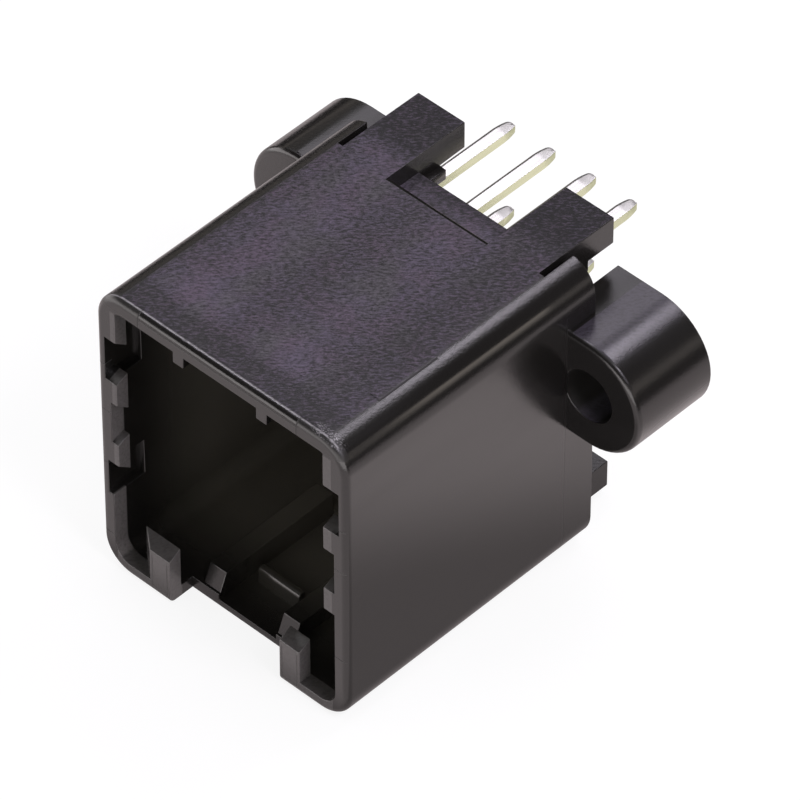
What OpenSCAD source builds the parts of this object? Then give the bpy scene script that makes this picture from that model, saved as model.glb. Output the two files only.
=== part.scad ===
/* [Shroud] */
// Width of the shroud across the contacts
body_w = 15.4; // [14:0.1:20]
// Height of the shroud
body_h = 17.2; // [16.6:0.1:22]
// Length of the shroud from the mouth to its rear face
shroud_l = 16; // [13.5:0.1:22]
// Radius of the four long edges
corner_r = 1.7; // [1.2:0.05:2.4]
// Rounding of the edge around the mouth
mouth_ease = 0.35; // [0.15:0.05:0.5]
// Depth of the screw axis below the top face
axis_drop = 5.75; // [5.2:0.05:6.5]
// Thickness of the two side walls
side_wall = 0.8; // [0.6:0.05:1]
// Thickness of the top wall
top_wall = 0.9; // [0.7:0.05:1.1]
// Thickness of the bottom wall
floor_wall = 0.7; // [0.6:0.05:1]
// Depth of the socket behind the mouth
socket_depth = 12.6; // [11:0.1:13]

/* [Board side] */
// Distance from the rear face to the circuit board
standoff_l = 3; // [2:0.1:4.5]
// Width of each standoff plate
standoff_w = 2.9; // [2:0.1:3.2]
// Clear gap between the two standoffs of a pair
standoff_gap = 6.2; // [5.4:0.1:6.4]
// Thickness of a standoff plate
standoff_t = 1.55; // [1.1:0.05:1.9]
// Depth of the step between the upper standoffs
ledge_drop = 1.05; // [0.5:0.05:1.4]
// Rounding of the top face's edge above the step
step_ease = 0.35; // [0.1:0.05:0.45]
// Length of the step and of the slits, measured from the rear face
ledge_l = 1.9; // [1:0.1:2.6]
// Width of the slit outside each standoff
slit_w = 0.3; // [0.15:0.05:0.5]
// Height of the lower standoffs above the underside
lower_lift = 0.35; // [0.1:0.05:0.6]
// How far the pad under each upper standoff reaches past its inner side
root_reach = 0.4; // [0.2:0.05:0.6]
// Length of the pad behind the rear face
root_l = 1.35; // [0.8:0.05:1.8]
// Thickness of the pad
root_t = 0.6; // [0.3:0.05:0.6]

/* [Ears] */
// Distance between the two screw holes
ear_spacing = 17.9; // [17:0.1:24]
// Radius of the ear's round end
ear_r = 3.05; // [2.4:0.05:3.5]
// Thickness of an ear along the screw
ear_t = 4.8; // [3.6:0.1:7]
// Rounding of the ear's edge on the mouth side
ear_ease = 0.3; // [0.1:0.05:0.5]
// Diameter of the screw hole
hole_d = 2.8; // [1.6:0.05:3.4]

/* [Mouth keys] */
// Depth of the keys behind the mouth
key_depth = 0.75; // [0.5:0.05:1.2]
// How far the keys stand out of the left wall
left_key = 0.4; // [0.2:0.05:0.7]
// How far the keys stand out of the right wall
right_key = 0.65; // [0.2:0.05:0.8]
// Height of the two keys in the upper corners
corner_key_h = 1.95; // [1:0.05:2.4]
// Height of each small side key at its front
side_key_h = 1.3; // [0.8:0.05:1.6]
// Height of the upper side keys' middle above the underside
upper_key_z = 11.1; // [10.6:0.05:11.4]
// Height of the lower side keys' middle above the underside
lower_key_z = 7.3; // [6.9:0.05:7.7]
// How far the side keys flare towards the back
key_flare = 0.6; // [0.2:0.05:0.7]
// Depth of the grooves beside the side keys
groove_depth = 0.3; // [0.1:0.05:0.4]
// Length of the grooves behind the mouth
groove_l = 2; // [1:0.1:4]
// Height of the groove under the lower left key
groove_h = 2.05; // [0.8:0.05:2.2]
// Width of each small tooth on the top wall
tooth_w = 0.65; // [0.4:0.05:1]
// Height of each small tooth on the top wall
tooth_h = 0.63; // [0.3:0.05:1]
// Distance between the two teeth
tooth_spacing = 5.1; // [3:0.1:7]

/* [Latch] */
// Width of the notch in the front of the bottom wall
notch_w = 6.9; // [6.7:0.1:7.6]
// Depth of the notch
notch_depth = 1.45; // [1:0.05:2]
// Width of the upright post on each side of the notch
post_w = 1.25; // [0.8:0.05:1.5]
// Height of the posts above the underside
post_h = 2.6; // [1.8:0.05:3.4]
// How far the left post widens towards the back
post_flare = 0.95; // [0.2:0.05:1]
// Height of the posts' sloping top
post_slope = 0.4; // [0.1:0.05:0.6]
// Clear width of the channel between the ribs
channel_w = 3.6; // [3:0.1:4]
// Thickness of the bottom wall in the channel
channel_floor = 0.36; // [0.25:0.01:0.5]
// Width of each rib beside the channel
rib_w = 1.05; // [0.7:0.05:1.2]
// Height of the ribs above the underside
rib_h = 1.7; // [1.2:0.05:2.2]
// Length of the ribs
rib_l = 7.5; // [5:0.1:9]
// Length of the ribs' sloping front
rib_ramp = 0.55; // [0.2:0.05:1]
// Width of the catch in the channel
catch_w = 2.6; // [1.6:0.1:2.8]
// Height of the catch above the underside
catch_h = 1.3; // [0.8:0.05:1.6]
// Distance from the mouth to the back of the catch
catch_back = 3.9; // [3.4:0.1:6]
// Length of the catch's sloping front
catch_ramp = 0.05; // [0.05:0.05:1]
// Length of the catch's flat top
catch_flat = 0.4; // [0.2:0.05:0.6]

/* [Contacts] */
// Distance between neighbouring contacts in a row
pitch = 2.5; // [2.2:0.05:2.8]
// Distance between the two rows
row_gap = 5.25; // [4:0.05:6.2]
// Thickness of the contact's strip metal
strip_t = 0.5; // [0.3:0.05:0.7]
// Width of the mating blade
blade_w = 1; // [0.8:0.05:1.2]
// Length of the mating blade inside the socket
blade_l = 5.5; // [4:0.1:7]
// Width of the solder tail
tail_w = 0.8; // [0.5:0.05:1]
// Length of the solder tail beyond the board plane
tail_l = 3.9; // [2.5:0.1:6]
// Width of the seating shoulder
shoulder_w = 1.5; // [1.3:0.05:1.8]
// Length of the seating shoulder
shoulder_l = 1.3; // [0.8:0.05:1.6]
// Length of the arched nose at each end
nose_l = 1; // [0.6:0.05:1.4]
// Width of the nose at its round tip, as a share of the strip it ends
nose_share = 0.8; // [0.5:0.05:0.9]
// Clearance around a contact in its slot
slot_gap = 0.02; // [0.01:0.005:0.05]
// How far the shoulder sits below the rear face
shoulder_sink = 0.1; // [0:0.05:0.3]

/* [Hidden] */
$fn = 64;
columns = 4;
rows = ["upper", "lower"];
function contact_name(row, column) = str("contact_", rows[row], "_", column + 1);
// Overshoot of a cut beyond the face it opens
over = 1;
top_z = axis_drop;
bottom_z = top_z - body_h;
middle_z = (top_z + bottom_z) / 2;
rear_y = -standoff_l;
mouth_y = rear_y - shroud_l;
socket_end_y = mouth_y + socket_depth;
inner_x = body_w / 2 - side_wall;
floor_z = bottom_z + floor_wall;
ceiling_z = top_z - top_wall;
step_y = rear_y - ledge_l;
standoff_out = standoff_gap / 2 + standoff_w;
ear_in = standoff_out + slit_w;
ear_x = ear_spacing / 2;
notch_y = mouth_y + notch_depth;
shoulder_y = rear_y - shoulder_sink - shoulder_l;

// Rectangle with its two near corners rounded, its near edge on the x axis
module eased_strip(width, depth, ease) {
    translate([-width / 2, ease]) square([width, depth - ease]);
    translate([ease - width / 2, 0]) square([width - 2 * ease, depth]);
    for (side = [-1, 1])
        translate([side * (width / 2 - ease), ease]) circle(ease);
}

// One half of an eased strip, to turn about the y axis
module eased_half(radius, depth, ease) {
    intersection() {
        eased_strip(2 * radius, depth, ease);
        square([radius, depth]);
    }
}

// Turned edge of an eased plate about the y direction, from +x round through -z
module eased_turn(radius, depth, ease, angle) {
    rotate([-90, 0, 0]) rotate_extrude(angle = angle) eased_half(radius, depth, ease);
}

// Bar along x with an eased strip as its section, standing on the plane y = 0
module eased_bar(length, height, depth, ease) {
    rotate([0, -90, 0])
        linear_extrude(height = length, center = true) eased_strip(height, depth, ease);
}

// Block with round long edges and a rounded edge around its near face
module eased_block(width, height, depth, corner, ease) {
    eased_bar(width - 2 * corner, height, depth, ease);
    linear_extrude(height = height - 2 * corner, center = true) eased_strip(width, depth, ease);
    for (turn = [0 : 3])
        rotate([0, turn * 90, 0])
            translate([
                (turn % 2 == 0 ? width : height) / 2 - corner,
                0,
                corner - (turn % 2 == 0 ? height : width) / 2
            ])
                eased_turn(corner, depth, ease, 90);
}

// Rectangle with round corners
module rounded_rectangle(width, height, corner) {
    square([width - 2 * corner, height], center = true);
    square([width, height - 2 * corner], center = true);
    for (x = [-1, 1], y = [-1, 1])
        translate([x * (width / 2 - corner), y * (height / 2 - corner)]) circle(corner);
}

// Box given by its lowest and highest corners
module span_box(low, high) {
    translate(low) cube(high - low);
}

// Upright outline in y and z, carried across from x0 to x1
module across(x0, x1) {
    translate([x0, 0, 0]) rotate([90, 0, 90]) linear_extrude(height = x1 - x0) children();
}

module shroud() {
    translate([0, mouth_y, middle_z])
        eased_block(body_w, body_h, shroud_l, corner_r, mouth_ease);
}

module socket() {
    inner_h = ceiling_z - floor_z;
    translate([0, socket_end_y, (ceiling_z + floor_z) / 2])
        rotate([90, 0, 0])
            linear_extrude(height = socket_depth + over)
                rounded_rectangle(2 * inner_x, inner_h, corner_r - side_wall);
    lower_z = bottom_z + lower_key_z - side_key_h / 2;
    side_groove(lower_z - groove_h, lower_z, 0);
    side_groove(bottom_z + upper_key_z + side_key_h / 2, ceiling_z - corner_key_h, inner_x + groove_depth);
}

// Shallow groove along the left side wall, open at the mouth, cut as far right as asked
module side_groove(z0, z1, right) {
    span_box([-inner_x - groove_depth, mouth_y - over, z0], [right, mouth_y + groove_l, z1]);
}

// Key on a side wall: flush with the mouth, flaring up and down towards the back
module side_key(reach, z) {
    across(inner_x - reach, inner_x + side_wall / 2)
        polygon([
            [mouth_y, z - side_key_h / 2],
            [mouth_y + key_depth, z - side_key_h / 2 - key_flare],
            [mouth_y + key_depth, z + side_key_h / 2 + key_flare / 2],
            [mouth_y, z + side_key_h / 2]
        ]);
}

// Key in an upper corner, with a flared underside
module corner_key(reach) {
    across(inner_x - reach, inner_x + side_wall / 2)
        polygon([
            [mouth_y, ceiling_z - corner_key_h],
            [mouth_y + key_depth, ceiling_z - corner_key_h - key_flare],
            [mouth_y + key_depth, ceiling_z + top_wall / 2],
            [mouth_y, ceiling_z + top_wall / 2]
        ]);
}

module wall_keys(reach) {
    corner_key(reach);
    for (z = [upper_key_z, lower_key_z])
        side_key(reach, bottom_z + z);
}

module top_teeth() {
    for (side = [-1, 1])
        translate([side * tooth_spacing / 2, 0, 0])
            span_box(
                [-tooth_w / 2, mouth_y, ceiling_z - tooth_h],
                [tooth_w / 2, mouth_y + key_depth, ceiling_z + top_wall / 2]
            );
}

// Post beside the notch, with a top that climbs towards the back and an outer side that may flare
module notch_post(flare) {
    inner = notch_w / 2;
    outer = inner + post_w;
    intersection() {
        across(inner, outer + flare)
            polygon([
                [mouth_y, bottom_z],
                [mouth_y + key_depth, bottom_z],
                [mouth_y + key_depth, bottom_z + post_h + post_slope],
                [mouth_y, bottom_z + post_h]
            ]);
        translate([0, mouth_y, bottom_z - over])
            linear_extrude(height = post_h + post_slope + 2 * over)
                polygon([[inner, 0], [outer, 0], [outer + flare, key_depth], [inner, key_depth]]);
    }
}

module mouth_keys() {
    wall_keys(right_key);
    notch_post(0);
    mirror([1, 0, 0]) {
        wall_keys(left_key);
        notch_post(post_flare);
    }
    top_teeth();
}

module latch_notch() {
    span_box(
        [-notch_w / 2, mouth_y - over, bottom_z - over],
        [notch_w / 2, notch_y, floor_z + over]
    );
}

module latch_channel() {
    span_box(
        [-channel_w / 2, notch_y - over, bottom_z + channel_floor],
        [channel_w / 2, notch_y + rib_l, floor_z + over]
    );
}

module latch_rib() {
    across(channel_w / 2, channel_w / 2 + rib_w)
        polygon([
            [notch_y, bottom_z + channel_floor],
            [notch_y + rib_ramp, bottom_z + rib_h],
            [notch_y + rib_l, bottom_z + rib_h],
            [notch_y + rib_l, bottom_z + channel_floor]
        ]);
}

module latch_catch() {
    catch_y = mouth_y + catch_back;
    across(-catch_w / 2, catch_w / 2)
        polygon([
            [catch_y - catch_flat - catch_ramp, bottom_z + channel_floor / 2],
            [catch_y - catch_flat - catch_ramp, bottom_z + channel_floor],
            [catch_y - catch_flat, bottom_z + catch_h],
            [catch_y, bottom_z + catch_h],
            [catch_y, bottom_z + channel_floor / 2]
        ]);
}

// Plate that reaches from inside the rear wall to the board, seen from above
module standoff(z0) {
    span_box(
        [standoff_gap / 2, step_y, z0],
        [standoff_out, 0, z0 + standoff_t]
    );
}

// Pad that thickens the root of an upper standoff from below
module standoff_root() {
    span_box(
        [standoff_gap / 2 - root_reach, step_y, top_z - standoff_t - root_t],
        [standoff_out, rear_y + root_l, top_z - standoff_t]
    );
}

// Cut between the upper standoffs, with the edge it leaves on the top face rounded over
module rear_step() {
    span_box(
        [-standoff_gap / 2, step_y, top_z - ledge_drop],
        [standoff_gap / 2, rear_y + over, top_z + over]
    );
    across(-standoff_gap / 2, standoff_gap / 2)
        translate([step_y - step_ease, top_z - step_ease])
            difference() {
                square(step_ease + over);
                circle(step_ease);
            }
}

module standoff_slit() {
    for (z = [bottom_z + lower_lift - over, top_z - standoff_t])
        span_box(
            [standoff_out, step_y, z],
            [ear_in, rear_y + over, z + standoff_t + over]
        );
}

module ear() {
    translate([ear_x, -ear_t, 0]) rotate([0, -90, 0]) eased_turn(ear_r, ear_t, ear_ease, 180);
    translate([(ear_in + ear_x) / 2, -ear_t, 0]) eased_bar(ear_x - ear_in, 2 * ear_r, ear_t, ear_ease);
}

module ear_hole() {
    translate([ear_x, over, 0])
        rotate([90, 0, 0]) cylinder(d = hole_d, h = ear_t + over);
}

module contact_slot() {
    blade = [blade_w / 2 + slot_gap, strip_t / 2 + slot_gap];
    shoulder = [shoulder_w / 2 + slot_gap, strip_t / 2 + slot_gap];
    span_box(
        [-blade.x, socket_end_y - over, -blade.y],
        [blade.x, shoulder_y + over, blade.y]
    );
    span_box(
        [-shoulder.x, shoulder_y, -shoulder.y],
        [shoulder.x, rear_y + over, shoulder.y]
    );
}

// Carries children to a contact's place
module at_contact(row, column) {
    translate([(column - (columns - 1) / 2) * pitch, 0, (1 / 2 - row) * row_gap]) children();
}

module housing() {
    color("#1b1a1d") difference() {
        union() {
            difference() {
                shroud();
                socket();
                latch_notch();
                latch_channel();
                rear_step();
            }
            intersection() {
                shroud();
                mouth_keys();
            }
            latch_catch();
            for (side = [0, 1])
                mirror([side, 0, 0]) {
                    latch_rib();
                    standoff(top_z - standoff_t);
                    standoff(bottom_z + lower_lift);
                    standoff_root();
                    ear();
                }
        }
        for (side = [0, 1])
            mirror([side, 0, 0]) {
                standoff_slit();
                ear_hole();
            }
        for (row = [0 : 1], column = [0 : columns - 1])
            at_contact(row, column) contact_slot();
    }
}

// Arched nose from the full width at y = 0 to a round tip, pointing along +y
module nose(width) {
    half = width / 2;
    tip = half * nose_share;
    reach = nose_l - tip;
    flank = (half * half - tip * tip + reach * reach) / (2 * (half - tip));
    intersection() {
        translate([half - flank, 0]) circle(flank);
        translate([flank - half, 0]) circle(flank);
        translate([-half, 0]) square([width, reach + tip * reach / (flank - tip)]);
    }
    translate([0, reach]) circle(tip);
}

// The strip seen from above: blade, shoulder and tail with a nose at each end
module strip_plan() {
    blade_y = socket_end_y - blade_l;
    translate([-blade_w / 2, blade_y + nose_l]) square([blade_w, shoulder_y - blade_y - nose_l]);
    translate([-shoulder_w / 2, shoulder_y]) square([shoulder_w, shoulder_l]);
    translate([-tail_w / 2, shoulder_y]) square([tail_w, tail_l - nose_l - shoulder_y]);
    translate([0, blade_y + nose_l]) mirror([0, 1]) nose(blade_w);
    translate([0, tail_l - nose_l]) nose(tail_w);
}

// The strip seen from the side: flat, with coined noses
module strip_side() {
    half = strip_t / 2;
    tip = half * nose_share;
    blade_y = socket_end_y - blade_l;
    polygon([
        [blade_y, -tip], [blade_y + nose_l, -half], [tail_l - nose_l, -half], [tail_l, -tip],
        [tail_l, tip], [tail_l - nose_l, half], [blade_y + nose_l, half], [blade_y, tip]
    ]);
}

module contact(row, column) {
    color("#d8d6cc") at_contact(row, column)
        intersection() {
            translate([0, 0, -strip_t]) linear_extrude(height = 2 * strip_t) strip_plan();
            across(-shoulder_w, shoulder_w) strip_side();
        }
}

housing();
for (row = [0 : 1], column = [0 : columns - 1])
    contact(row, column);
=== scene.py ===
import bmesh
import bpy
import math
from mathutils import Matrix, Vector


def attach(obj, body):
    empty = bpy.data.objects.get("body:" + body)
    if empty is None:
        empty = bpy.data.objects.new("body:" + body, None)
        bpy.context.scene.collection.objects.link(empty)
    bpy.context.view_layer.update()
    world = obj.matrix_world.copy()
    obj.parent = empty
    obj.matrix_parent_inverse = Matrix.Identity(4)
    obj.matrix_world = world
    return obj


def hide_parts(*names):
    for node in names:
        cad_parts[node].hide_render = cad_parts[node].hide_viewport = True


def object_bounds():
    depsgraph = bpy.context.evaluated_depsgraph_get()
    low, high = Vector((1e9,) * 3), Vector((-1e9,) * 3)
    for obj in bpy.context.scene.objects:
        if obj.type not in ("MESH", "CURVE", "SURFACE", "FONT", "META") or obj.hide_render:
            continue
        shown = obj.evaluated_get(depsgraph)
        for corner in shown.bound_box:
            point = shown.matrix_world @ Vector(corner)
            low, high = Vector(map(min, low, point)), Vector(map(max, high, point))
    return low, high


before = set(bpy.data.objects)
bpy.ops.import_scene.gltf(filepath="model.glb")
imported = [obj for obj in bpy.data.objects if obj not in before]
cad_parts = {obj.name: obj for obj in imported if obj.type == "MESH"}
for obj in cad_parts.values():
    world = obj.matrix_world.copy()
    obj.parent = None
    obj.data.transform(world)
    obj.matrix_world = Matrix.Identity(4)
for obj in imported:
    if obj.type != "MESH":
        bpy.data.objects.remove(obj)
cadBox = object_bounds()
scene = bpy.context.scene
scene.view_settings.view_transform = "Standard"
mm = 0.001
floorHeight = cadBox[0].z
print("frame loaded with", len(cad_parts), "nodes")

# the camera's lens and place, fitted to points read off the photo
cameraSettings = {
    "target": (0.681, -8.239, -3.366),
    "azimuth": 43.563,
    "elevation": 44.509,
    "distance": 357.34,
    "lens": 356.91,
    "sensor": 36.0,
    "clip": (0.01, 10.0),
}


def makeCamera(s):
    data = bpy.data.cameras.new("photoCamera")
    data.lens = s["lens"]
    data.sensor_width = s["sensor"]
    data.clip_start, data.clip_end = s["clip"]
    camera = bpy.data.objects.new("photoCamera", data)
    scene.collection.objects.link(camera)
    az, el = math.radians(s["azimuth"]), math.radians(s["elevation"])
    back = Vector((math.sin(az) * math.cos(el), -math.cos(az) * math.cos(el), math.sin(el)))
    camera.location = Vector(s["target"]) * mm + back * s["distance"] * mm
    camera.rotation_mode = "QUATERNION"
    camera.rotation_quaternion = (-back).to_track_quat("-Z", "Y")
    scene.camera = camera


makeCamera(cameraSettings)
print("camera placed")


# small helpers for node trees
def newMaterial(name):
    material = bpy.data.materials.new(name)
    material.use_nodes = True
    tree = material.node_tree
    return material, tree, tree.nodes["Principled BSDF"]


def addNode(tree, kind, **values):
    node = tree.nodes.new(kind)
    for key, value in values.items():
        setattr(node, key, value)
    return node


# a number or a colour is set on the socket, anything else is linked to it
def feed(tree, socket, value):
    if isinstance(value, (int, float)):
        socket.default_value = value
    elif isinstance(value, tuple):
        socket.default_value = (*value, 1.0)
    else:
        tree.links.new(value, socket)


def mathNode(tree, operation, a, b=None, c=None, clamp=False):
    node = addNode(tree, "ShaderNodeMath", operation=operation, use_clamp=clamp)
    for socket, value in zip(node.inputs, (a, b, c)):
        if value is not None:
            feed(tree, socket, value)
    return node.outputs[0]


def splitVector(tree, vector):
    node = addNode(tree, "ShaderNodeSeparateXYZ")
    tree.links.new(vector, node.inputs[0])
    return node.outputs


# place in millimetres and facing, both in the object's own axes
def surfaceOf(tree):
    place = addNode(tree, "ShaderNodeTexCoord")
    scaled = addNode(tree, "ShaderNodeMapping")
    scaled.inputs["Scale"].default_value = (1.0 / mm, 1.0 / mm, 1.0 / mm)
    tree.links.new(place.outputs["Object"], scaled.inputs["Vector"])
    at = {"place": scaled.outputs["Vector"]}
    at["x"], at["y"], at["z"] = splitVector(tree, at["place"])
    at["nx"], at["ny"], at["nz"] = splitVector(tree, place.outputs["Normal"])
    at["wide"] = mathNode(tree, "ABSOLUTE", at["x"])
    return at


def noise(tree, vector, scale, detail=2.0, roughness=0.5, stretch=None):
    if stretch is not None:
        mapping = addNode(tree, "ShaderNodeMapping")
        mapping.inputs["Scale"].default_value = stretch
        tree.links.new(vector, mapping.inputs["Vector"])
        vector = mapping.outputs["Vector"]
    node = addNode(tree, "ShaderNodeTexNoise")
    node.inputs["Scale"].default_value = scale
    node.inputs["Detail"].default_value = detail
    node.inputs["Roughness"].default_value = roughness
    tree.links.new(vector, node.inputs["Vector"])
    return node.outputs["Fac"]


# a Mix node repeats its socket names for each kind of data, so the colour ones go by number
def mixColours(tree, factor, a, b):
    node = addNode(tree, "ShaderNodeMix", data_type="RGBA")
    feed(tree, node.inputs[0], factor)
    feed(tree, node.inputs[6], a)
    feed(tree, node.inputs[7], b)
    return node.outputs[2]


# masks on object coordinates, 1 inside and 0 outside
def remap(tree, value, span, out=(0.0, 1.0), smooth=True):
    node = addNode(tree, "ShaderNodeMapRange", interpolation_type="SMOOTHSTEP" if smooth else "LINEAR")
    tree.links.new(value, node.inputs["Value"])
    for name, number in zip(("From Min", "From Max", "To Min", "To Max"), (*span, *out)):
        node.inputs[name].default_value = number
    return node.outputs["Result"]


def fallOff(tree, value, span):
    return remap(tree, value, span, (1.0, 0.0))


# turns a mask into a factor, the first number outside it and the second inside
def weigh(tree, mask, shares):
    return remap(tree, mask, (0.0, 1.0), shares)


def window(tree, value, span, soft):
    low, high = span
    rise = remap(tree, value, (low - soft, low + soft))
    fall = fallOff(tree, value, (high - soft, high + soft))
    return mathNode(tree, "MULTIPLY", rise, fall)


def allOf(tree, *masks):
    result = masks[0]
    for mask in masks[1:]:
        result = mathNode(tree, "MULTIPLY", result, mask)
    return result


def anyOf(tree, *masks):
    result = masks[0]
    for mask in masks[1:]:
        result = mathNode(tree, "MAXIMUM", result, mask)
    return result


def invert(tree, mask):
    return mathNode(tree, "SUBTRACT", 1.0, mask)


# fine lines left by the mould: parting, rim marks, insert joints, post panels and ejector rings
lineSettings = {
    "half": 0.030,
    "soft": 0.015,
    "endSoft": 0.02,
    "topEdge": (4.9, 5.9),
    "rim": (-19.2, -18.55),
    "parting": {"y": -4.9, "wide": (6.4, 8.0), "z": (-12.0, 4.0), "weight": 0.25},
    "rimMarks": (
        {"x": (6.95, 7.6), "z": (0.75, -1.82, -7.40)},
        {"x": (-7.9, -6.95), "z": (1.17, -1.67, -5.0, -9.4)},
    ),
    "insert": {
        "x": (-5.0, 4.7),
        "y": -18.58, "weight": 0.3,
        "z": 5.40, "spread": 1.8, "front": (-19.2, -18.7),
    },
    "cornerMark": {"x": 6.42, "y": -15.57, "inner": 5.85, "rear": -11.9},
    "postPanel": {"wide": (3.62, 4.55), "z": (-11.05, -9.05), "front": (-19.2, -18.9)},
    "ejectors": {
        "wide": 5.6, "radius": 0.85,
        "rearZ": -7.6, "rearFace": (-3.2, -2.8),
        "underY": -8.2, "underFace": (-11.6, -11.3),
    },
}


def mouldLines(tree, s, at):
    def thin(value, place, spread=1.0):
        reach = s["half"] * spread
        return window(tree, value, (place - reach, place + reach), s["soft"])

    def between(value, span):
        return window(tree, value, span, s["endSoft"])

    def ring(a, aMiddle, b, bMiddle, radius):
        da = mathNode(tree, "SUBTRACT", a, aMiddle)
        db = mathNode(tree, "SUBTRACT", b, bMiddle)
        square = mathNode(tree, "MULTIPLY_ADD", da, da, mathNode(tree, "MULTIPLY", db, db))
        return thin(mathNode(tree, "SQRT", square), radius)

    x, y, z, wide = at["x"], at["y"], at["z"], at["wide"]
    topEdge, rim = between(z, s["topEdge"]), between(y, s["rim"])
    part = s["parting"]
    parting = allOf(tree, thin(y, part["y"]), between(wide, part["wide"]), between(z, part["z"]))
    lines = [mathNode(tree, "MULTIPLY", parting, part["weight"])]
    for marks in s["rimMarks"]:
        side = between(x, marks["x"])
        lines += [allOf(tree, thin(z, place), rim, side) for place in marks["z"]]
    insert = s["insert"]
    across = between(x, insert["x"])
    joint = allOf(tree, thin(y, insert["y"]), across, topEdge)
    lines.append(mathNode(tree, "MULTIPLY", joint, insert["weight"]))
    lines.append(allOf(tree, thin(z, insert["z"], insert["spread"]), across, between(y, insert["front"])))
    lines += [allOf(tree, thin(x, place), rim, topEdge) for place in insert["x"]]
    mark = s["cornerMark"]
    lines.append(allOf(tree, thin(x, mark["x"]), between(y, (mark["y"], mark["rear"])), topEdge))
    lines.append(allOf(tree, thin(y, mark["y"]), between(x, (mark["inner"], mark["x"])), topEdge))
    panel = s["postPanel"]
    front = between(y, panel["front"])
    inX, inZ = between(wide, panel["wide"]), between(z, panel["z"])
    lines += [allOf(tree, thin(wide, place), inZ, front) for place in panel["wide"]]
    lines.append(allOf(tree, thin(z, panel["z"][0]), inX, front))
    pins = s["ejectors"]
    rearRing = ring(wide, pins["wide"], z, pins["rearZ"], pins["radius"])
    underRing = ring(wide, pins["wide"], y, pins["underY"], pins["radius"])
    lines.append(allOf(tree, rearRing, between(y, pins["rearFace"])))
    lines.append(allOf(tree, underRing, between(z, pins["underFace"])))
    return anyOf(tree, *lines)


# where each kind of surface lies on the moulding, in mm; level and lean are limits on the normal
zoneSettings = {
    "level": (0.970, 0.995),
    "upper": (5.35, 5.60),
    "ledge": {"z": (4.6, 4.8), "soft": 0.03},
    "step": {
        "y": (-5.25, -4.85), "soft": 0.02,
        "wide": (3.08, 3.12), "z": (5.30, 5.40), "lean": (0.02, 0.08),
    },
    "rear": (-4.6, -2.4),      # the standoffs turn plainer towards the board, where the painted sheen fades
    "socket": {
        "wide": (7.3, 7.5), "z": (-11.2, 5.1), "soft": 0.05,
        "front": (-17.5, -12.0), "rear": (-6.3, -5.3),    # painted light: the socket turns paler over the front depth
    },
    "hole": {"axis": 8.95, "radiusSquared": (1.98, 2.08), "y": (-4.78, -4.70)},
    "ear": {"from": (7.75, 7.85), "lean": (0.86, 0.97)},
    "corner": {"soft": 0.05, "y": (-18.6, -18.4), "z": (4.9, 5.0)},
}


def plasticZones(tree, s, at):
    x, y, z, wide = at["x"], at["y"], at["z"], at["wide"]
    ledge = window(tree, z, s["ledge"]["z"], s["ledge"]["soft"])
    step = s["step"]
    stepEdge = allOf(
        tree,
        window(tree, y, step["y"], step["soft"]),
        fallOff(tree, wide, step["wide"]),
        remap(tree, z, step["z"]),
        remap(tree, at["ny"], step["lean"]),
    )
    offStep = invert(tree, stepEdge)
    upper = anyOf(tree, remap(tree, z, s["upper"]), ledge)
    crown = allOf(tree, remap(tree, at["nz"], s["level"]), upper, offStep)
    rear = remap(tree, y, s["rear"])
    room = s["socket"]
    socket = allOf(
        tree,
        fallOff(tree, wide, room["wide"]),
        window(tree, z, room["z"], room["soft"]),
        remap(tree, y, room["front"]),
        fallOff(tree, y, room["rear"]),
    )
    fromAxis = mathNode(tree, "SUBTRACT", wide, s["hole"]["axis"])
    square = mathNode(tree, "MULTIPLY_ADD", fromAxis, fromAxis, mathNode(tree, "MULTIPLY", z, z))
    hole = allOf(tree, fallOff(tree, square, s["hole"]["radiusSquared"]), remap(tree, y, s["hole"]["y"]))
    rightEar = remap(tree, x, s["ear"]["from"])
    outside = invert(tree, window(tree, x, lineSettings["insert"]["x"], s["corner"]["soft"]))
    return {
        "ledge": ledge,
        "stepEdge": stepEdge,
        "offStep": offStep,
        "crown": crown,
        "rear": rear,
        "top": allOf(tree, crown, invert(tree, rear)),
        "standoff": allOf(tree, crown, rear),
        "socket": socket,
        "hole": hole,
        "ear": remap(tree, wide, s["ear"]["from"]),
        "paintedEarSheen": allOf(tree, rightEar, remap(tree, at["nz"], s["ear"]["lean"])),
        "corner": allOf(tree, outside, fallOff(tree, y, s["corner"]["y"]), remap(tree, z, s["corner"]["z"])),
    }


# leathery grain, full on the flat top and much weaker on rounded edges and elsewhere
reliefSettings = {
    "grain": {"scale": 14.0, "share": 0.45},
    "wrinkle": {"scale": 8.5, "turn": -44.0, "stretch": (0.42, 1.0, 1.0)},     # from front left to rear right
    "detail": 3.0,
    "roughness": 0.6,
    "depth": 0.070,
    "flat": (0.965, 0.995),
    "roundings": (0.80, 0.92),
    "z": (4.9, 5.3),
    "edgeShare": 0.22,
    "plainShare": 0.085,
}


def grainRelief(tree, s, at):
    grain = noise(tree, at["place"], s["grain"]["scale"], s["detail"], s["roughness"])
    turned = addNode(tree, "ShaderNodeVectorRotate", rotation_type="Z_AXIS")
    turned.inputs["Angle"].default_value = math.radians(s["wrinkle"]["turn"])
    tree.links.new(at["place"], turned.inputs["Vector"])
    wrinkle = noise(
        tree, turned.outputs["Vector"], s["wrinkle"]["scale"], s["detail"], s["roughness"],
        s["wrinkle"]["stretch"],
    )
    return mathNode(tree, "MULTIPLY_ADD", grain, s["grain"]["share"], wrinkle)


def grainStrength(tree, s, at, offStep):
    roundings = remap(tree, at["nz"], s["roundings"], (s["plainShare"], s["edgeShare"]))
    flat = remap(tree, at["nz"], s["flat"])
    grained = allOf(tree, anyOf(tree, roundings, flat), remap(tree, at["z"], s["z"]))
    return allOf(tree, mathNode(tree, "MAXIMUM", grained, s["plainShare"]), offStep)
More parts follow.
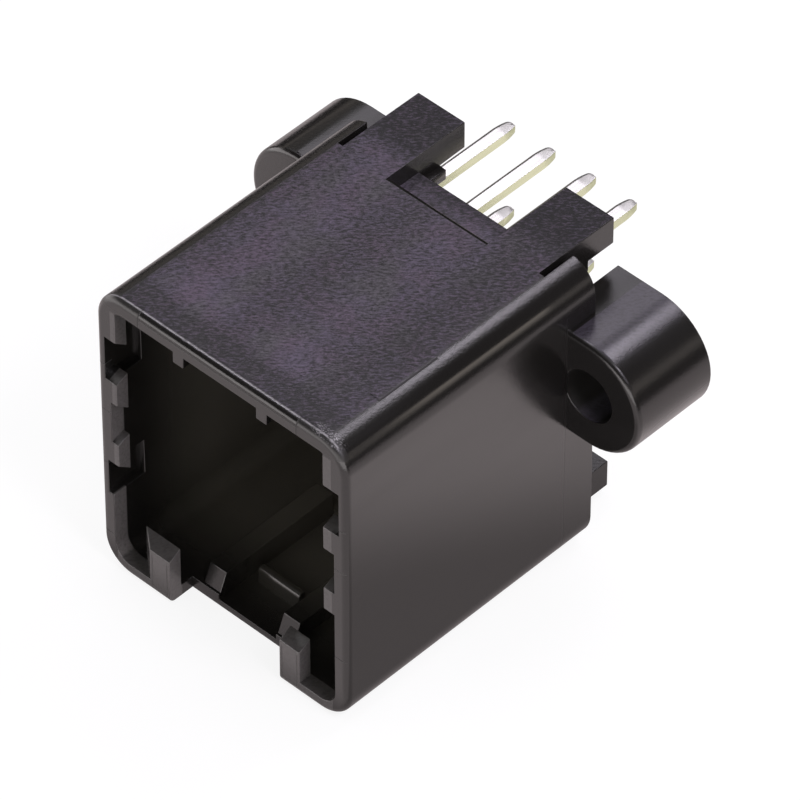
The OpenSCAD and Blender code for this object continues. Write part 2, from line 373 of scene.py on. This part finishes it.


# pale violet sheen painted on the up-facing top, in soft stripes from front to rear, with the grain's own
# tone in it
paintedSheenSettings = {
    "dark": (0.0040, 0.0030, 0.0045),
    "blue": (0.1010, 0.0790, 0.1260),
    "violet": (0.1100, 0.0760, 0.1220),
    "green": (0.0910, 0.0800, 0.0990),
    "fleck": {"scale": 0.75, "span": (0.35, 0.65)},
    "moss": {"scale": 0.55, "stretch": (1.0, 0.6, 1.0), "span": (0.50, 0.70)},
    "stripe": {"scale": 0.40, "stretch": (1.0, 0.22, 1.0), "bend": 2.0, "period": 5.6, "middle": 1.9},
    "stripeShares": (0.55, 1.08),
    "right": {"x": (1.0, 6.0), "shares": (1.0, 0.7)},
    "frontBand": {"y": (-17.0, -15.2), "soft": 0.9, "shares": (1.0, 1.30)},
    "frontRim": {"y": (-17.7, -16.9), "shares": (0.3, 1.0)},
    "rearShares": (1.0, 0.10),
    "ledgeShares": (1.0, 1.1),
    "broadShare": 0.5,
    "grain": {"span": (0.55, 0.90), "shares": (-0.50, 0.50)},
}


def paintedSheenTone(tree, s, at, zones, relief):
    stripe = s["stripe"]
    drift = noise(tree, at["place"], stripe["scale"], stretch=stripe["stretch"])
    bent = mathNode(tree, "MULTIPLY_ADD", drift, stripe["bend"], at["x"])
    phase = mathNode(tree, "SUBTRACT", bent, 0.5 * stripe["bend"] + stripe["middle"])
    wave = mathNode(tree, "COSINE", mathNode(tree, "MULTIPLY", phase, math.tau / stripe["period"]))
    nearFront = window(tree, at["y"], s["frontBand"]["y"], s["frontBand"]["soft"])
    broad = allOf(
        tree,
        remap(tree, wave, (-1.0, 1.0), s["stripeShares"], smooth=False),
        remap(tree, at["x"], s["right"]["x"], s["right"]["shares"], smooth=False),
        weigh(tree, nearFront, s["frontBand"]["shares"]),
        remap(tree, at["y"], s["frontRim"]["y"], s["frontRim"]["shares"]),
        weigh(tree, zones["rear"], s["rearShares"]),
        weigh(tree, zones["ledge"], s["ledgeShares"]),
    )
    fine = remap(tree, relief, s["grain"]["span"], s["grain"]["shares"], smooth=False)
    return mathNode(tree, "MULTIPLY_ADD", broad, s["broadShare"], fine, clamp=True)


def paintedSheenColour(tree, s, at, zones, relief):
    fleck = noise(tree, at["place"], s["fleck"]["scale"])
    moss = noise(tree, at["place"], s["moss"]["scale"], stretch=s["moss"]["stretch"])
    patches = mixColours(tree, remap(tree, fleck, s["fleck"]["span"]), s["blue"], s["violet"])
    patches = mixColours(tree, remap(tree, moss, s["moss"]["span"]), patches, s["green"])
    return mixColours(tree, paintedSheenTone(tree, s, at, zones, relief), s["dark"], patches)


# wear and painted light: a painted sheen on the right ear, a bright top front edge and corner that are worn
# and carry a painted highlight, keys rubbed grey with painted light on them
wearSettings = {
    "paintedEarSheenColour": (0.0500, 0.0440, 0.0580),
    "edgeWearAndPaintedHighlight": (0.2700, 0.2600, 0.2700),
    "rubbedGreyAndPaintedLight": (0.0850, 0.0790, 0.0760),
    "rubbedSideAndPaintedLight": (0.1700, 0.1580, 0.1520),
    "blotch": {"span": (0.50, 0.85), "shares": (0.4, 1.0)},
    "frontEdgeWearAndHighlight": {"lean": (-0.30, -0.07), "soft": 0.05, "y": (-18.5, -18.4), "z": (5.4, 5.5)},
    "speck": {
        "scale": 15.0, "detail": 2.0, "roughness": 0.6, "span": (0.53, 0.63),
        "x": (5.5, 7.0), "soft": 0.25, "y": (-18.45, -18.15), "lean": (0.55, 0.75), "z": (5.0, 5.2),
    },
    "keys": {
        "y": (-18.27, -18.17), "wide": (3.3, 7.0), "soft": 0.03, "z": (4.70, 4.80),
        "inner": (6.75, 6.80), "lean": (-0.6, -0.4), "side": (0.5, 0.7),
        "patches": (0.45, 0.85), "patchShares": (0.7, 1.0),
    },
}


# the top front edge and the corner specks are worn and carry a painted highlight, laid where the highlight
# falls
def wornEdgesAndPaintedHighlight(tree, s, at, blotch):
    edge, speck = s["frontEdgeWearAndHighlight"], s["speck"]
    frontEdgeWearAndHighlight = allOf(
        tree, blotch,
        window(tree, at["ny"], edge["lean"], edge["soft"]),
        fallOff(tree, at["y"], edge["y"]),
        remap(tree, at["z"], edge["z"]),
    )
    specks = noise(tree, at["place"], speck["scale"], speck["detail"], speck["roughness"])
    corner = allOf(
        tree,
        remap(tree, specks, speck["span"]),
        window(tree, at["x"], speck["x"], speck["soft"]),
        fallOff(tree, at["y"], speck["y"]),
        remap(tree, at["nz"], speck["lean"]),
        remap(tree, at["z"], speck["z"]),
    )
    return anyOf(tree, frontEdgeWearAndHighlight, corner)


def rubbedKeysAndPaintedLight(tree, keys, at, relief):
    return allOf(
        tree,
        fallOff(tree, at["y"], keys["y"]),
        window(tree, at["wide"], keys["wide"], keys["soft"]),
        fallOff(tree, at["z"], keys["z"]),
        anyOf(tree, fallOff(tree, at["wide"], keys["inner"]), remap(tree, at["ny"], keys["lean"])),
        remap(tree, relief, keys["patches"], keys["patchShares"]),
    )


def wornColour(tree, s, at, zones, relief, colour):
    blotch = remap(tree, relief, s["blotch"]["span"], s["blotch"]["shares"])
    # painted sheen on the upper face of the right ear, in blotches
    colour = mixColours(tree, allOf(tree, zones["paintedEarSheen"], blotch), colour, s["paintedEarSheenColour"])
    colour = mixColours(tree, wornEdgesAndPaintedHighlight(tree, s, at, blotch), colour, s["edgeWearAndPaintedHighlight"])
    # keys rubbed grey with painted light on them, their sideways faces painted lighter still
    sideways = remap(tree, mathNode(tree, "ABSOLUTE", at["nx"]), s["keys"]["side"])
    grey = mixColours(tree, sideways, s["rubbedGreyAndPaintedLight"], s["rubbedSideAndPaintedLight"])
    return mixColours(tree, rubbedKeysAndPaintedLight(tree, s["keys"], at, relief), colour, grey)


# moulded black plastic
plasticSettings = {
    "base": (0.0118, 0.0108, 0.0098),
    # inner and paintedLightInnerLow are painted light inside the socket, lighter still low down
    "inner": (0.1050, 0.0960, 0.0790),
    "paintedLightInnerLow": (0.1320, 0.1205, 0.0990),
    "paintedLightInnerLowZ": (-8.5, -3.0),
    # painted shade: the ear hole is coloured darker than the plastic around it
    "hole": (0.0090, 0.0080, 0.0060),
    "line": (0.0040, 0.0040, 0.0040),
    "lineShare": 0.35,
    "lineDepth": 0.012,
    "ior": 1.65,
    "streak": {"scale": 0.45, "stretch": (1.0, 0.16, 1.0), "span": (0.3, 0.7)},
    "roughness": (0.17, 0.24),
    "addedRoughness": {"top": 0.33, "standoff": 0.52, "corner": 0.20, "ear": 0.04, "hole": 0.3, "line": 0.45},
    "stepShares": (1.0, 0.4),
}


def plasticColour(tree, s, at, zones, relief, lines):
    # the inside of the socket takes the painted light
    inner = mixColours(tree, remap(tree, at["z"], s["paintedLightInnerLowZ"]), s["paintedLightInnerLow"], s["inner"])
    colour = mixColours(tree, zones["socket"], s["base"], inner)
    # painted shade inside the ear hole
    colour = mixColours(tree, zones["hole"], colour, s["hole"])
    # the up-facing top takes the painted sheen, with the grain's own tone in it
    colour = mixColours(tree, zones["crown"], colour, paintedSheenColour(tree, paintedSheenSettings, at, zones, relief))
    colour = wornColour(tree, wearSettings, at, zones, relief, colour)
    return mixColours(tree, mathNode(tree, "MULTIPLY", lines, s["lineShare"]), colour, s["line"])


def plasticRoughness(tree, s, at, zones, lines):
    streak = noise(tree, at["place"], s["streak"]["scale"], stretch=s["streak"]["stretch"])
    rough = remap(tree, streak, s["streak"]["span"], s["roughness"])
    masks = {**zones, "line": lines}
    for name, added in s["addedRoughness"].items():
        rough = mathNode(tree, "MULTIPLY_ADD", masks[name], added, rough)
    return mathNode(tree, "MULTIPLY", rough, weigh(tree, zones["stepEdge"], s["stepShares"]))


def blackPlastic(s):
    material, tree, shader = newMaterial("blackPlastic")
    at = surfaceOf(tree)
    zones = plasticZones(tree, zoneSettings, at)
    relief = grainRelief(tree, reliefSettings, at)
    lines = mouldLines(tree, lineSettings, at)
    feed(tree, shader.inputs["Base Color"], plasticColour(tree, s, at, zones, relief, lines))
    feed(tree, shader.inputs["Roughness"], plasticRoughness(tree, s, at, zones, lines))
    shader.inputs["IOR"].default_value = s["ior"]
    grainBump = addNode(tree, "ShaderNodeBump")
    grainBump.inputs["Distance"].default_value = reliefSettings["depth"] * mm
    strength = grainStrength(tree, reliefSettings, at, zones["offStep"])
    feed(tree, grainBump.inputs["Strength"], strength)
    feed(tree, grainBump.inputs["Height"], relief)
    lineBump = addNode(tree, "ShaderNodeBump", invert=True)
    lineBump.inputs["Distance"].default_value = s["lineDepth"] * mm
    feed(tree, lineBump.inputs["Height"], lines)
    feed(tree, lineBump.inputs["Normal"], grainBump.outputs["Normal"])
    feed(tree, shader.inputs["Normal"], lineBump.outputs["Normal"])
    return material


# tin-plated strip: bright rolled faces, yellower sheared ones, and a painted dark reflection in grey along
# the roll at the left of the top
tinSettings = {
    "rolled": (0.96, 0.955, 0.93),
    "sheared": (0.74, 0.80, 0.54),
    "shearedLean": (0.40, 0.75),
    "roll": (0.330, 0.330, 0.320),
    "rollLeanX": (-0.26, -0.10),
    "rollLeanZ": (0.15, 0.30),
    "drawn": {"scale": 9.0, "stretch": (1.0, 0.08, 1.0), "span": (0.3, 0.7), "depth": 0.0008},
    "roughness": (0.22, 0.30),
    "nose": {"y": (2.8, 3.5), "roughness": 0.30},    # added towards the tip
}


def tinnedStrip(s):
    material, tree, shader = newMaterial("tinnedStrip")
    at = surfaceOf(tree)
    sideways = remap(tree, mathNode(tree, "ABSOLUTE", at["nx"]), s["shearedLean"])
    colour = mixColours(tree, sideways, s["rolled"], s["sheared"])
    # painted dark reflection along the roll at the left of the top
    roll = allOf(tree, fallOff(tree, at["nx"], s["rollLeanX"]), remap(tree, at["nz"], s["rollLeanZ"]))
    feed(tree, shader.inputs["Base Color"], mixColours(tree, roll, colour, s["roll"]))
    drawn = noise(tree, at["place"], s["drawn"]["scale"], stretch=s["drawn"]["stretch"])
    rough = remap(tree, drawn, s["drawn"]["span"], s["roughness"])
    nose = remap(tree, at["y"], s["nose"]["y"])
    rough = mathNode(tree, "MULTIPLY_ADD", nose, s["nose"]["roughness"], rough)
    feed(tree, shader.inputs["Roughness"], rough)
    bump = addNode(tree, "ShaderNodeBump")
    bump.inputs["Distance"].default_value = s["drawn"]["depth"] * mm
    feed(tree, bump.inputs["Height"], drawn)
    feed(tree, shader.inputs["Normal"], bump.outputs["Normal"])
    shader.inputs["Metallic"].default_value = 1.0
    return material


plastic = blackPlastic(plasticSettings)
tin = tinnedStrip(tinSettings)
print("materials made")

# how every piece is welded and shaded
pieceSettings = {
    "weld": 0.001,
    "flatAngle": 0.4,
    "creaseAngle": 50.0,
    "flatWeight": 50,
}


# a welded copy of a solid, with its flat faces whole again
def weldedCopy(nodeName, s):
    bm = bmesh.new()
    bm.from_mesh(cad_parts[nodeName].data)
    bmesh.ops.remove_doubles(bm, verts=bm.verts, dist=s["weld"] * mm)
    bmesh.ops.dissolve_limit(bm, angle_limit=math.radians(s["flatAngle"]), verts=bm.verts, edges=bm.edges)
    return bm


def sharpEdges(bm, sharpAngle):
    limit = math.radians(sharpAngle)
    return [e for e in bm.edges if e.is_manifold and e.is_convex and e.calc_face_angle() > limit]


def easeEdges(bm, edges, ease, segments):
    bmesh.ops.bevel(
        bm, geom=edges, offset=ease * mm, offset_type="OFFSET", segments=segments,
        profile=0.5, affect="EDGES", clamp_overlap=False, material=-1,
    )


def edgeWithin(edge, low, high):
    middle = (edge.verts[0].co + edge.verts[1].co) * 0.5 / mm
    return all(a <= v <= b for a, v, b in zip(low, middle, high))


# inner corners stay crisp, the rest is shaded smooth
def finishPiece(bm, name, material, nodeName, s):
    limit = math.radians(s["creaseAngle"])
    for edge in bm.edges:
        edge.smooth = not (edge.is_manifold and edge.calc_face_angle() > limit)
    for face in bm.faces:
        face.smooth = True
    mesh = bpy.data.meshes.new(name)
    bm.to_mesh(mesh)
    bm.free()
    mesh.materials.append(material)
    piece = bpy.data.objects.new(name, mesh)
    scene.collection.objects.link(piece)
    weighted = piece.modifiers.new("flatFaces", "WEIGHTED_NORMAL")
    weighted.mode = "FACE_AREA"
    weighted.weight = s["flatWeight"]
    weighted.keep_sharp = True
    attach(piece, "root")
    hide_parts(nodeName)
    return piece


# the moulding, with every hard edge run round a little and the catch's crest worn rounder
housingSettings = {
    "edgeEase": 0.05,
    "segments": 2,
    "sharpAngle": 28.0,
    "catchCrest": {"low": (-1.2, -15.6, -10.2), "high": (1.2, -15.4, -10.1), "ease": 0.22, "segments": 5},
}


def makeHousing(s):
    bm = weldedCopy("housing", pieceSettings)
    crest = s["catchCrest"]
    edges = [e for e in sharpEdges(bm, s["sharpAngle"]) if edgeWithin(e, crest["low"], crest["high"])]
    easeEdges(bm, edges, crest["ease"], crest["segments"])
    print("crest edges:", len(edges))
    easeEdges(bm, sharpEdges(bm, s["sharpAngle"]), s["edgeEase"], s["segments"])
    return finishPiece(bm, "mouldedHousing", plastic, "housing", pieceSettings)


housing = makeHousing(housingSettings)
print("housing made:", len(housing.data.polygons), "faces")

# the eight contacts, rolled over along the left of the top and round the tip
contactSettings = {
    "rolledEase": 0.25,
    "rolledFrom": -2.9,     # the roll runs out on the way to the shoulder
    "rolledRise": 0.3,
    "rolledLean": 0.05,
    "rolledSegments": 4,
    "edgeEase": 0.012,
    "segments": 2,
    "sharpAngle": 40.0,
}


def makeContacts(s):
    for nodeName in sorted(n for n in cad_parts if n.startswith("contact_")):
        bm = weldedCopy(nodeName, pieceSettings)
        bmesh.ops.bisect_plane(
            bm, geom=bm.verts[:] + bm.edges[:] + bm.faces[:],
            plane_co=(0.0, s["rolledFrom"] * mm, 0.0), plane_no=(0.0, 1.0, 0.0),
        )
        # top edges that lean to the left or towards the tip
        rolled = []
        for edge in sharpEdges(bm, s["sharpAngle"]):
            lean = edge.link_faces[0].normal + edge.link_faces[1].normal
            if lean.z > s["rolledRise"] and lean.x < lean.y + s["rolledLean"]:
                rolled.append(edge)
        easeEdges(bm, rolled, s["rolledEase"], s["rolledSegments"])
        easeEdges(bm, sharpEdges(bm, s["sharpAngle"]), s["edgeEase"], s["segments"])
        stripName = nodeName.replace("contact", "strip")
        finishPiece(bm, stripName, tin, nodeName, pieceSettings)


makeContacts(contactSettings)
print("contacts made")

# pale floor; reflections see it dimmer beside the part, a painted shadow, and tinted warm, a painted
# reflection colour, and from below it is clear
floorSettings = {
    "radius": 600.0,
    "segments": 96,
    "drop": 0.03,      # keeps the floor just clear of the part's underside
    "colour": (0.95, 0.95, 0.95),
    "roughness": 0.9,
    "glow": {"Is Camera Ray": 0.80, "Is Glossy Ray": 1.0, "Is Transmission Ray": 0.80},
    "glowStrength": 1.08,
    "paintedShadowBeside": {"from": (6.0, 14.0), "glow": (0.43, 1.0), "rearShare": 0.6},
    "mirroredFar": {"from": (17.0, 24.0), "shares": (1.0, 0.78)},
    "mirroredFront": {"y": (-20.5, -18.5), "glow": (0.80, 0.0)},
    "paintedReflectionTint": (1.0, 0.890, 0.900),
}


# the floor as reflections see it: a painted shadow beside the part, a little dimmer again further out, and
# bright in front
def reflectedGlowWithPaintedShadow(tree, s, at):
    away = mathNode(tree, "MULTIPLY_ADD", at["y"], s["paintedShadowBeside"]["rearShare"], at["wide"])
    beside = remap(tree, away, s["paintedShadowBeside"]["from"], s["paintedShadowBeside"]["glow"])
    fade = remap(tree, away, s["mirroredFar"]["from"], s["mirroredFar"]["shares"])
    front = remap(tree, at["y"], s["mirroredFront"]["y"], s["mirroredFront"]["glow"])
    return anyOf(tree, mathNode(tree, "MULTIPLY", beside, fade), front)


def floorMaterial(s):
    material, tree, shader = newMaterial("paleFloor")
    shader.inputs["Base Color"].default_value = (*s["colour"], 1.0)
    shader.inputs["Roughness"].default_value = s["roughness"]
    shader.inputs["Specular IOR Level"].default_value = 0.0
    rays = addNode(tree, "ShaderNodeLightPath").outputs
    glossy = rays["Is Glossy Ray"]
    strength = mathNode(tree, "MULTIPLY", invert(tree, glossy), s["glowStrength"])
    paintedShadowBeside = reflectedGlowWithPaintedShadow(tree, s, surfaceOf(tree))
    strength = mathNode(tree, "MULTIPLY_ADD", glossy, paintedShadowBeside, strength)
    emission = addNode(tree, "ShaderNodeEmission")
    feed(tree, emission.inputs["Strength"], strength)
    # painted warm tint that only reflections see
    feed(tree, emission.inputs["Color"], mixColours(tree, glossy, (1.0, 1.0, 1.0), s["paintedReflectionTint"]))
    glows = [mathNode(tree, "MULTIPLY", rays[ray], share) for ray, share in s["glow"].items()]
    lit = addNode(tree, "ShaderNodeMixShader")
    feed(tree, lit.inputs["Fac"], anyOf(tree, *glows))
    feed(tree, lit.inputs[1], shader.outputs["BSDF"])
    feed(tree, lit.inputs[2], emission.outputs["Emission"])
    oneSided = addNode(tree, "ShaderNodeMixShader")
    feed(tree, oneSided.inputs["Fac"], addNode(tree, "ShaderNodeNewGeometry").outputs["Backfacing"])
    feed(tree, oneSided.inputs[1], lit.outputs["Shader"])
    feed(tree, oneSided.inputs[2], addNode(tree, "ShaderNodeBsdfTransparent").outputs["BSDF"])
    feed(tree, tree.nodes["Material Output"].inputs["Surface"], oneSided.outputs["Shader"])
    return material


def makeFloor(s):
    bm = bmesh.new()
    bmesh.ops.create_circle(
        bm, cap_ends=True, segments=s["segments"], radius=s["radius"] * mm,
        matrix=Matrix.Translation((0.0, 0.0, floorHeight - s["drop"] * mm)),
    )
    mesh = bpy.data.meshes.new("paleFloor")
    bm.to_mesh(mesh)
    bm.free()
    mesh.materials.append(floorMaterial(s))
    floor = bpy.data.objects.new("paleFloor", mesh)
    scene.collection.objects.link(floor)


makeFloor(floorSettings)
print("floor laid")

# dark curved cards, all but the rear one with a brighter stripe, which only reflections see
cardSettings = {
    "radius": 64.0,
    "steps": 48,
    "dark": (0.02, 0.02, 0.02),
    "cards": {
        "rightCard": {
            "start": 2.0, "turn": -118.0, "top": 100.0, "stripe": (22.0, 36.0), "glow": (0.62, 0.56, 0.52),
        },
        "frontCard": {
            "start": 120.0, "turn": -150.0, "top": 100.0, "stripe": (4.0, 30.0), "glow": (2.50, 2.35, 2.35),
        },
        "leftCard": {
            "start": -42.0, "turn": 48.0, "top": 46.0, "stripe": (22.0, 36.0), "glow": (0.40, 0.36, 0.33),
        },
        "rearCard": {
            "start": 2.0, "turn": 44.0, "top": 66.0, "stripe": (22.0, 36.0), "glow": (0.02, 0.02, 0.02),
        },
    },
}


def glowing(name, colour):
    material, _, shader = newMaterial(name)
    shader.inputs["Base Color"].default_value = (0.0, 0.0, 0.0, 1.0)
    shader.inputs["Specular IOR Level"].default_value = 0.0
    shader.inputs["Emission Color"].default_value = (*colour, 1.0)
    shader.inputs["Emission Strength"].default_value = 1.0
    return material


def makeCard(cardName, s):
    card = s["cards"][cardName]
    bm = bmesh.new()
    start = math.radians(card["start"])
    edge = Vector((math.sin(start), math.cos(start), 0.0)) * s["radius"] * mm
    heights = (0.0, *card["stripe"], card["top"])
    column = [bm.verts.new(edge + Vector((0.0, 0.0, floorHeight + h * mm))) for h in heights]
    profile = column + [bm.edges.new(pair) for pair in zip(column, column[1:])]
    bmesh.ops.spin(
        bm, geom=profile, cent=(0.0, 0.0, 0.0), axis=(0.0, 0.0, 1.0),
        angle=math.radians(card["turn"]), steps=s["steps"], use_merge=False,
    )
    low, high = (floorHeight + h * mm for h in card["stripe"])
    for face in bm.faces:
        face.material_index = int(low < face.calc_center_median().z < high)
    mesh = bpy.data.meshes.new(cardName)
    bm.to_mesh(mesh)
    bm.free()
    mesh.materials.append(glowing(cardName + "Dark", s["dark"]))
    mesh.materials.append(glowing(cardName + "Stripe", card["glow"]))
    panel = bpy.data.objects.new(cardName, mesh)
    scene.collection.objects.link(panel)
    panel.visible_camera = False
    panel.visible_diffuse = False
    panel.visible_shadow = False


for cardName in cardSettings["cards"]:
    makeCard(cardName, cardSettings)
print("cards placed")

# soft round lamps overhead, and an even grey sky
lampSettings = {
    "distance": 250.0,
    "colour": (0.95, 0.88, 1.0),
    "sky": (0.44, 0.44, 0.44),
    "lamps": {
        "rearSoftbox": {"direction": (0.075, 0.517, 0.853), "radius": 46.0, "power": 0.108},
        "topPanel": {"direction": (-0.491, 0.517, 0.701), "radius": 46.0, "power": 0.027},
        "leftSoftbox": {"direction": (-0.49, 0.06, 0.87), "radius": 36.0, "power": 0.060},
        "rightSoftbox": {"direction": (0.62, -0.08, 0.78), "radius": 50.0, "power": 0.25},
    },
}


def makeLamp(lampName, s):
    spot = s["lamps"][lampName]
    data = bpy.data.lights.new(lampName, "AREA")
    data.shape = "DISK"
    data.size = 2.0 * spot["radius"] * mm
    data.energy = spot["power"]
    data.color = s["colour"]
    lamp = bpy.data.objects.new(lampName, data)
    scene.collection.objects.link(lamp)
    direction = Vector(spot["direction"]).normalized()
    lamp.location = direction * s["distance"] * mm
    lamp.rotation_mode = "QUATERNION"
    lamp.rotation_quaternion = (-direction).to_track_quat("-Z", "Y")


def makeSky(s):
    world = bpy.data.worlds.new("studio")
    scene.world = world
    world.use_nodes = True
    background = world.node_tree.nodes["Background"]
    background.inputs["Color"].default_value = (*s["sky"], 1.0)
    background.inputs["Strength"].default_value = 1.0


for lampName in lampSettings["lamps"]:
    makeLamp(lampName, lampSettings)
makeSky(lampSettings)
print("stage lit")
